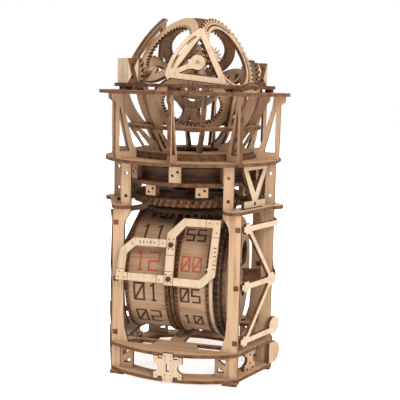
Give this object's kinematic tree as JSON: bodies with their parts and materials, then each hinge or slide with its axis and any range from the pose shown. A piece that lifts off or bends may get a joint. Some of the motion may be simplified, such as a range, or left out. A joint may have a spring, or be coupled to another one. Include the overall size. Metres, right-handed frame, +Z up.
{
  "type": "wooden mechanical clock model",
  "caption": "Laser-cut plywood desk clock kit: an open post frame with hour and minute drums, toothed wheels and a caged spherical tourbillon on top.",
  "frame": {"origin": "centre of the footprint on the surface that the feet rest on", "axes": "+Z up, -Y towards the dial window, +X to the viewer's right"},
  "size_m": [0.1732, 0.1732, 0.3194],
  "materials": {
    "birch": "raw birch plywood with laser-browned edges",
    "birch_light": "pale raw birch plywood with laser-browned edges",
    "birch_dark": "laser-toothed plywood, dark burnt edges",
    "birch_peg": "turned wooden rod"
  },
  "bodies": {
    "frame": {"feet": "birch", "bottom_plate": "birch", "deck_plate": "birch", "front_spacer": "birch_light", "rear_spacer": "birch_light", "side_spacers": "birch_light", "corner_gussets": "birch", "post_front_left": "birch", "post_front_right": "birch", "post_left": "birch", "post_right": "birch", "post_rear_left": "birch", "post_rear_right": "birch", "truss_left": "birch_light", "truss_right": "birch_light", "shoulder_left": "birch_light", "shoulder_right": "birch_light", "upper_trusses": "birch_light", "mid_deck": "birch", "spacer_boxes": "birch_light", "spring_barrel": "birch_dark", "mid_ring": "birch", "turret_ring": "birch", "bowl_gussets": "birch", "waist_ring": "birch", "cradle_arms": "birch", "bracket_1": "birch", "bracket_2": "birch", "bracket_3": "birch", "bracket_4": "birch", "bracket_5": "birch", "bracket_6": "birch", "bracket_7": "birch", "bracket_8": "birch", "top_ring": "birch", "ring_spacers": "birch", "inner_ring": "birch", "bearing_block_front": "birch_light", "bearing_block_rear": "birch_light", "bezel_hour": "birch_light", "bezel_minute": "birch_light", "bezel_bolts": "birch_peg", "center_support": "birch", "axle_arms": "birch", "drum_axle": "birch_peg"},
    "hour_drum": {"hour_drum_shell": "birch", "hour_drum_discs": "birch"},
    "minute_drum": {"minute_drum_shell": "birch", "minute_drum_discs": "birch", "minute_crown_gear": "birch_dark"},
    "great_wheels": {"great_wheel": "birch_dark", "lower_wheel": "birch_dark"},
    "cage": {"cage_gear_rings": "birch", "cage_plain_rings": "birch", "cage_bridges": "birch_light", "trunnions": "birch_light"},
    "carriage": {"carriage": "birch"},
    "escape_wheel": {"escape_wheel": "birch_light"},
    "pallet_fork": {"pallet_fork": "birch"},
    "balance": {"balance_wheel": "birch"}
  },
  "joints": [
    {"name": "minute_drum_spin", "type": "hinge", "parent": "frame", "child": "minute_drum", "pos_m": [0, 0, 0.087], "axis": [1, 0, 0], "continuous": true},
    {"name": "hour_drum_spin", "type": "hinge", "parent": "frame", "child": "hour_drum", "pos_m": [0, 0, 0.087], "axis": [1, 0, 0], "continuous": true},
    {"name": "great_wheel_spin", "type": "hinge", "parent": "frame", "child": "great_wheels", "pos_m": [0, 0, 0], "axis": [0, 0, 1], "continuous": true},
    {"name": "cage_spin", "type": "hinge", "parent": "frame", "child": "cage", "pos_m": [0, 0, 0.268], "axis": [0.7071, 0.7071, 0], "continuous": true},
    {"name": "carriage_spin", "type": "hinge", "parent": "cage", "child": "carriage", "pos_m": [0, 0, 0.268], "axis": [0.2851, -0.9383, 0.1955], "continuous": true},
    {"name": "escape_wheel_spin", "type": "hinge", "parent": "carriage", "child": "escape_wheel", "pos_m": [0.01618, -0.00644, 0.28511], "axis": [0.2851, -0.9383, 0.1955], "continuous": true},
    {"name": "pallet_fork_rock", "type": "hinge", "parent": "carriage", "child": "pallet_fork", "pos_m": [-0.00458, -0.01535, 0.27264], "axis": [0.2851, -0.9383, 0.1955], "range_deg": [-6, 6]},
    {"name": "balance_swing", "type": "hinge", "parent": "carriage", "child": "balance", "pos_m": [0, 0, 0.268], "axis": [0.2851, -0.9383, 0.1955], "range_deg": [-130, 130]}
  ],
  "couplings": [
    {"joint": "hour_drum_spin", "follows": "minute_drum_spin", "ratio": 0.083333},
    {"joint": "great_wheel_spin", "follows": "minute_drum_spin", "ratio": -1.5},
    {"joint": "carriage_spin", "follows": "cage_spin", "ratio": 2.2},
    {"joint": "escape_wheel_spin", "follows": "cage_spin", "ratio": -6.6}
  ]
}
